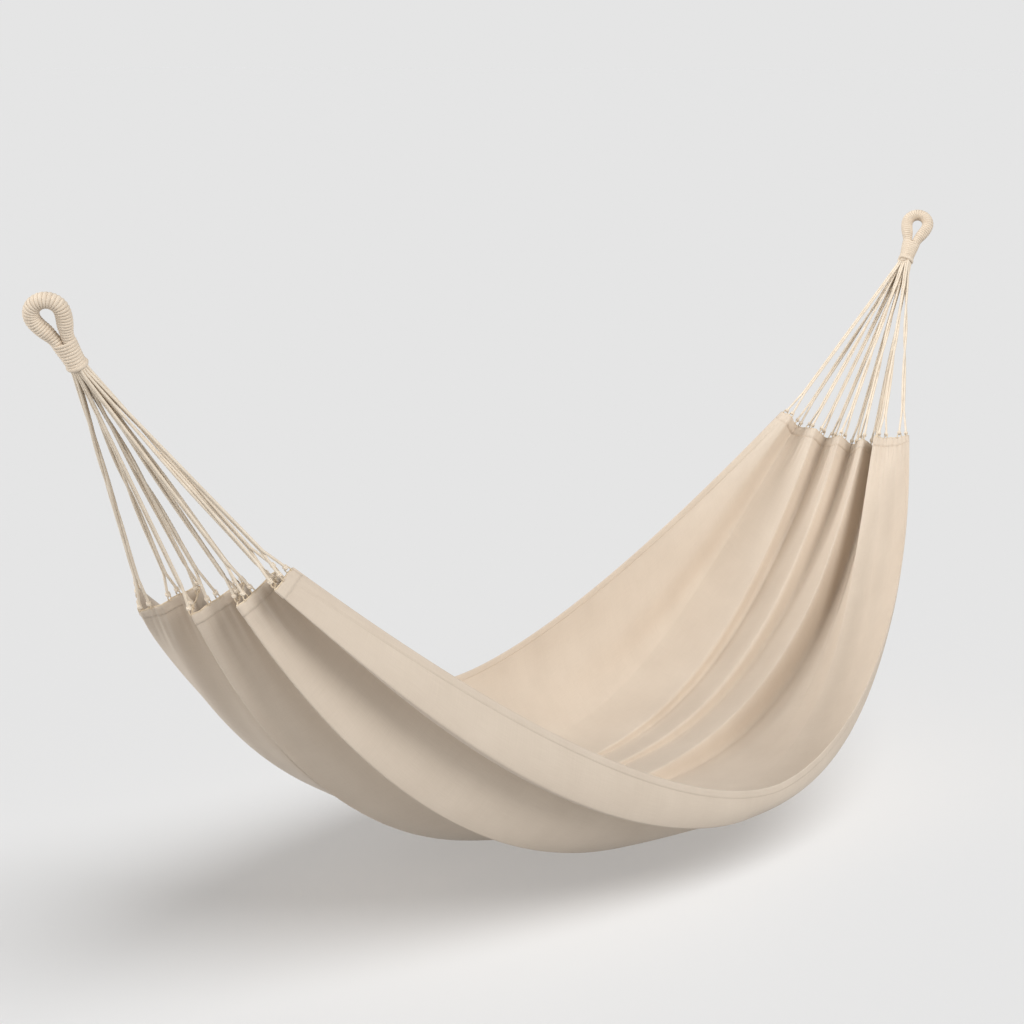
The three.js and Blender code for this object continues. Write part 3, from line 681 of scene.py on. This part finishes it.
def end_strings(end):
    """The doubled strings of one end. Each splits above the cloth into two knotted legs."""
    at, length = edge_line(end)
    axes = eye_frame(end)
    pivot = end["pivot"]
    pitch = 2 * STRAND_RADIUS
    rng = np.random.default_rng(40 + end["side"])
    places = string_places(length)
    foot_depth = [(at(place) - pivot) @ axes["depth"] for place in places]
    pieces = []
    for k, place in enumerate(places):
        column, group = k // 4, [4 * (k // 4) + i for i in range(4)]
        row = sorted(group, key=lambda i: foot_depth[i]).index(k)
        x, y = (column - 1) * 2 * pitch, (row - 1.5) * pitch
        foot = at(place)
        up = unit(pivot - foot)
        root = pivot - axes["down"] * 0.016 + (axes["side"] * x + axes["depth"] * y) * 0.8
        mouth = pivot + axes["down"] * 0.006 + axes["side"] * x + axes["depth"] * y
        fork = foot + up * SPLIT_LENGTH * rng.uniform(0.7, 1.2)
        centre = resample([root, mouth, fork], 0.002)
        heading = unit(fork - mouth)
        a = unit(axes["side"] - heading * (axes["side"] @ heading))
        b = np.cross(heading, a)
        run = np.linspace(0, 1, len(centre))
        turn = math.pi * rng.integers(0, 3) * smooth(run, 0.1, 0.95)
        mesh = Mesh()
        for sign in (-1, 1):
            offset = (a * np.cos(turn)[:, None] + b * np.sin(turn)[:, None]) * (sign * pitch / 2)
            upper = centre + offset
            end_sign = sign * math.cos(turn[-1])
            knot = at(place + end_sign * LEG_SPREAD / 2) + up * rng.uniform(0.002, 0.005)
            lower = resample([upper[-1], knot + up * 0.004, knot - up * 0.003], 0.002)
            line = np.concatenate([upper, lower[1:]])
            for _ in range(2):
                line[2:-2] = (line[1:-3] + line[2:-2] + line[3:-1]) / 3
            tube(mesh, line, STRAND_RADIUS, sides=12, strands=3, lay=STRAND_LAY, depth=STRAND_RIDGE)
            coil = np.linspace(0, KNOT_TURNS * TAU, 44)
            tilt = unit(b + up * rng.uniform(-0.4, 0.4))
            ring = np.cos(coil)[:, None] * a + np.sin(coil)[:, None] * tilt
            rise = np.linspace(-0.0018, 0.0026, 44)[:, None] * up
            tube(mesh, knot + rise + ring * KNOT_RADIUS, KNOT_CORD_RADIUS, sides=8)
        name = f"{end['name']}_string_{k + 1:02d}"
        piece = mesh.make(name + "_pair", CORD, "cotton_cord", None, name)
        if end is LEFT:
            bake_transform(piece)
        else:
            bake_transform(piece)
        pieces.append(piece)
    return pieces


def end_lacing(end):
    """A thin cord along the end hem, and the loops through the hem that hold the strings."""
    at, length = edge_line(end)
    rng = np.random.default_rng(60 + end["side"])
    mesh = Mesh()
    run = np.linspace(0.002, length - 0.002, int(length / 0.0025))
    middle = at(run)
    up = unit(end["pivot"] - middle)
    out = unit(np.cross(up, headings(middle)))
    sway = np.sin(run * TAU / 0.031 + 1)[:, None] * 0.0006
    sway = sway + np.sin(run * TAU / 0.0123)[:, None] * 0.0003
    tube(mesh, middle - up * (EDGE_REACH - LACING_RADIUS * 0.6) + out * sway, LACING_RADIUS, sides=7)
    for place in string_places(length):
        for leg in (-1, 1):
            foot = place + leg * LEG_SPREAD / 2
            spread = rng.uniform(0.0022, 0.0038)
            ends = at(np.array([foot - spread, foot + spread]))
            top = at(foot)
            rise = unit(end["pivot"] - top)
            face = unit(np.cross(rise, ends[1] - ends[0]))
            angle = np.linspace(-0.25 * math.pi, 1.25 * math.pi, 26)[:, None]
            across = (ends[1] - ends[0]) / 2
            ring = across * np.cos(angle) + rise * (0.0058 * np.sin(angle) - 0.0022)
            bulge = face * (0.0021 * np.cos(angle) * leg)
            tube(mesh, top + ring + bulge, LOOP_CORD_RADIUS, sides=7)
    name = end["name"] + "_lacing"
    return mesh.make(name + "_cord", LACING, "cotton_cord", "bed", name)


# Eyes

def eye_line():
    """Half the eye's centre line mirrored: across and up from the pivot, evenly spaced."""
    shoulder = LOOP_TOP - LOOP_HALF_WIDTH
    t = np.linspace(0, 1, 400)[:, None]
    corners = np.array([
        (LEG_OFFSET, NECK_LENGTH * 0.7),
        (LEG_OFFSET, NECK_LENGTH + LEG_EASE),
        (LOOP_HALF_WIDTH, shoulder - LEG_EASE),
        (LOOP_HALF_WIDTH, shoulder),
    ])
    leg = (
        (1 - t) ** 3 * corners[0] + 3 * t * (1 - t) ** 2 * corners[1]
        + 3 * t * t * (1 - t) * corners[2] + t**3 * corners[3]
    )
    angle = np.linspace(0, math.pi / 2, 300)[1:]
    arc = np.stack([LOOP_HALF_WIDTH * np.cos(angle), shoulder + LOOP_HALF_WIDTH * np.sin(angle)], -1)
    half = np.concatenate([leg, arc])
    whole = np.concatenate([half, half[-2::-1] * [-1, 1]])
    length = lengths_along(whole)
    at = np.linspace(0, length[-1], 4000)
    return np.stack([np.interp(at, length, whole[:, k]) for k in range(2)], -1), length[-1]


def core_radius(up):
    return lerp(LEG_CORE_RADIUS, LOOP_CORE_RADIUS, smooth(up, NECK_LENGTH + 0.006, NECK_LENGTH + 0.026))


def band_section(half_width, height):
    """Section of a wound cord: along the core, and out from it."""
    angle = np.linspace(0, TAU, WIND_SIDES, endpoint=False)
    return half_width * np.cos(angle), height * (0.45 + 0.55 * np.sin(angle))


def eye(end):
    """One eye: a cord wound round the loop in close turns, and the neck's winding."""
    axes = eye_frame(end)
    pivot = end["pivot"]
    line, total = eye_line()
    tangent = np.gradient(line, axis=0)
    tangent = tangent / np.linalg.norm(tangent, axis=1)[:, None]
    outward = np.stack([tangent[:, 1], -tangent[:, 0]], -1)
    bend = (np.gradient(tangent, axis=0) * outward).sum(1) / (total / len(line))
    count = len(line)
    first = int(np.argmax(line[:, 0] > LEG_CORE_RADIUS + 0.0014))
    steps = EYE_TURNS * WIND_STEPS
    where = np.linspace(first, count - 1 - first, steps).astype(int)
    pitch = total * (count - 2 * first) / count / EYE_TURNS
    to_3d = lambda flat: flat[..., :1] * axes["across"] - flat[..., 1:] * axes["down"]
    rings = []
    for i, k in enumerate(where):
        angle = TAU * i / WIND_STEPS
        ray = to_3d(outward[k]) * math.cos(angle) + axes["out"] * math.sin(angle)
        seat = core_radius(line[k, 1])
        local = pitch * max(0.3, 1 - bend[k] * math.cos(angle) * (seat + WIND_HEIGHT / 2))
        along, height = band_section(local * WIND_OVERLAP, WIND_HEIGHT)
        centre = pivot + to_3d(line[k]) + ray * seat
        rings.append(centre + to_3d(tangent[k]) * along[:, None] + ray * height[:, None])
    loop = Mesh()
    loop.add(np.concatenate(rings), ring_faces(len(rings), WIND_SIDES))
    name = end["name"]
    body = name + "_eye"
    loop.make(name + "_eye_wound_cord", WOUND, "wound_cord", body, name + "_eye_winding")

    core = Mesh()
    core_points = np.stack([pivot + to_3d(line[k]) for k in range(0, count, 25)])
    core_radii = np.array([core_radius(line[k, 1]) for k in range(0, count, 25)])
    tube(core, core_points, core_radii, sides=16)
    neck_heights = np.linspace(-0.002, NECK_LENGTH - 0.010, 12)
    neck = np.stack([pivot - axes["down"] * h for h in neck_heights])
    tube(core, neck, np.where(neck_heights < 0.001, NECK_RADIUS * 0.85, NECK_RADIUS), sides=20)
    core.make(name + "_eye_bundle", WOUND, "wound_cord", body, name + "_eye_core")

    rings = []
    steps = NECK_TURNS * WIND_STEPS
    top = NECK_LENGTH
    for i in range(steps + 1):
        angle = TAU * i / WIND_STEPS
        height = lerp(0.0018, top, i / steps)
        merge = smooth(height, 0.010, top)
        half_across = lerp(NECK_RADIUS, LEG_OFFSET + LEG_CORE_RADIUS + 0.0015, merge)
        half_out = lerp(NECK_RADIUS, LEG_CORE_RADIUS + 0.003, merge)
        ray = axes["across"] * math.cos(angle) + axes["out"] * math.sin(angle)
        seat = axes["across"] * (half_across * math.cos(angle))
        seat = seat + axes["out"] * (half_out * math.sin(angle))
        thick = lerp(1.45, 1, smooth(i / WIND_STEPS, 0.6, 1.6))
        along, out = band_section(top / NECK_TURNS * WIND_OVERLAP * thick, WIND_HEIGHT * thick)
        centre = pivot - axes["down"] * height + seat
        rings.append(centre - axes["down"] * along[:, None] + ray * out[:, None])
    wound = Mesh()
    wound.add(np.concatenate(rings), ring_faces(len(rings), WIND_SIDES))
    wound.make(name + "_neck_wound_cord", WOUND, "wound_cord", body, name + "_neck_winding")


# Assembly

cloth = bed_cloth()
edgings = hems()
strings = []
for end in (LEFT, RIGHT):
    end_lacing(end)
    strings += end_strings(end)
    eye(end)


# Studio

def shown_or_mirrored(tree):
    """1 for rays from the camera or mirrored to it, 0 for light on its way between surfaces."""
    path = tree.nodes.new("ShaderNodeLightPath")
    total = path.outputs["Is Camera Ray"]
    for kind in ("Is Glossy Ray", "Is Transmission Ray"):
        both = tree.nodes.new("ShaderNodeMath")
        both.operation = "ADD"
        both.use_clamp = True
        tree.links.new(total, both.inputs[0])
        tree.links.new(path.outputs[kind], both.inputs[1])
        total = both.outputs[0]
    return total


def floor_material():
    """Matt backdrop that shows its own grey, and throws less light up at the hammock."""
    material, tree, shader, node = nodes_of("studio_floor")
    shown = node("BsdfDiffuse", Color=(FLOOR_GREY, FLOOR_GREY, FLOOR_GREY, 1))
    thrown = node("BsdfDiffuse", Color=(FLOOR_BOUNCE, FLOOR_BOUNCE, FLOOR_BOUNCE, 1))
    either = node("MixShader")
    tree.links.new(shown_or_mirrored(tree), either.inputs["Fac"])
    tree.links.new(thrown.outputs[0], either.inputs[1])
    tree.links.new(shown.outputs[0], either.inputs[2])
    tree.links.new(either.outputs[0], tree.nodes["Material Output"].inputs["Surface"])
    tree.nodes.remove(shader)
    return material


def floor():
    lowest = MID_PIVOT[2] - BELLY_DROP - FLOOR_BELOW_BED
    data = bpy.data.meshes.new("studio_floor")
    square = ((-1, -1), (1, -1), (1, 1), (-1, 1))
    corners = [(x * FLOOR_REACH, y * FLOOR_REACH, lowest) for x, y in square]
    data.from_pydata(corners, [], [(0, 1, 2, 3)])
    data.materials.append(floor_material())
    made = bpy.data.objects.new("studio_floor", data)
    bpy.context.scene.collection.objects.link(made)
    return made


def world():
    made = bpy.data.worlds.new("studio")
    bpy.context.scene.world = made
    made.use_nodes = True
    tree = made.node_tree
    lit = tree.nodes["Background"]
    lit.inputs["Color"].default_value = (1, 1, 1, 1)
    lit.inputs["Strength"].default_value = WORLD_LIGHT
    shown = tree.nodes.new("ShaderNodeBackground")
    shown.inputs["Color"].default_value = (FLOOR_GREY, FLOOR_GREY, FLOOR_GREY, 1)
    either = tree.nodes.new("ShaderNodeMixShader")
    tree.links.new(shown_or_mirrored(tree), either.inputs["Fac"])
    tree.links.new(lit.outputs[0], either.inputs[1])
    tree.links.new(shown.outputs[0], either.inputs[2])
    tree.links.new(either.outputs[0], tree.nodes["World Output"].inputs["Surface"])


def lamp(name, around, height, light, angle, pieces, shadow=True):
    """Soft distant lamp for some pieces. Around is in degrees clockwise from straight behind."""
    bearing = CAMERA_YAW + rad(around)
    level = math.cos(rad(height))
    towards = Vector((math.sin(bearing) * level, math.cos(bearing) * level, math.sin(rad(height))))
    data = bpy.data.lights.new(name, "SUN")
    data.energy = math.pi * light
    data.angle = rad(angle)
    data.use_shadow = shadow
    made = bpy.data.objects.new(name, data)
    made.rotation_euler = towards.to_track_quat("Z", "Y").to_euler()
    bpy.context.scene.collection.objects.link(made)
    lit = bpy.data.collections.new(name + "_lights")
    for piece in pieces:
        lit.objects.link(piece)
    made.light_linking.receiver_collection = lit


def camera():
    data = bpy.data.cameras.new("photo_view")
    data.lens = CAMERA_LENS
    data.sensor_width = 36
    data.clip_end = 1000
    made = bpy.data.objects.new("photo_view", data)
    made.location = MID_PIVOT + CAMERA_FROM_MID_PIVOT
    looking = Vector((
        math.sin(CAMERA_YAW) * math.cos(CAMERA_PITCH),
        math.cos(CAMERA_YAW) * math.cos(CAMERA_PITCH),
        -math.sin(CAMERA_PITCH),
    ))
    made.rotation_euler = looking.to_track_quat("-Z", "Y").to_euler()
    bpy.context.scene.collection.objects.link(made)
    bpy.context.scene.camera = made


hammock = [piece for piece in bpy.context.scene.objects if piece.type == "MESH"]
world()
ground = floor()
lamp("floor_light", 110, 60, FLOOR_SHADOW / math.sin(rad(60)), 55, [ground])
lamp("floor_fill", 0, 90, 1 - WORLD_LIGHT - FLOOR_SHADOW, 10, [ground], shadow=False)
lamp("key", 135, 35, 0.70, 30, hammock)
lamp("low_key", 140, 8, 0.13, 30, hammock)
lamp("low_left", 225, 12, 0.36, 30, hammock)
lamp("left", 270, 15, 0.46, 30, hammock)
lamp("top", 270, 65, 0.28, 30, hammock)
camera()
bpy.context.scene.view_settings.view_transform = "Standard"
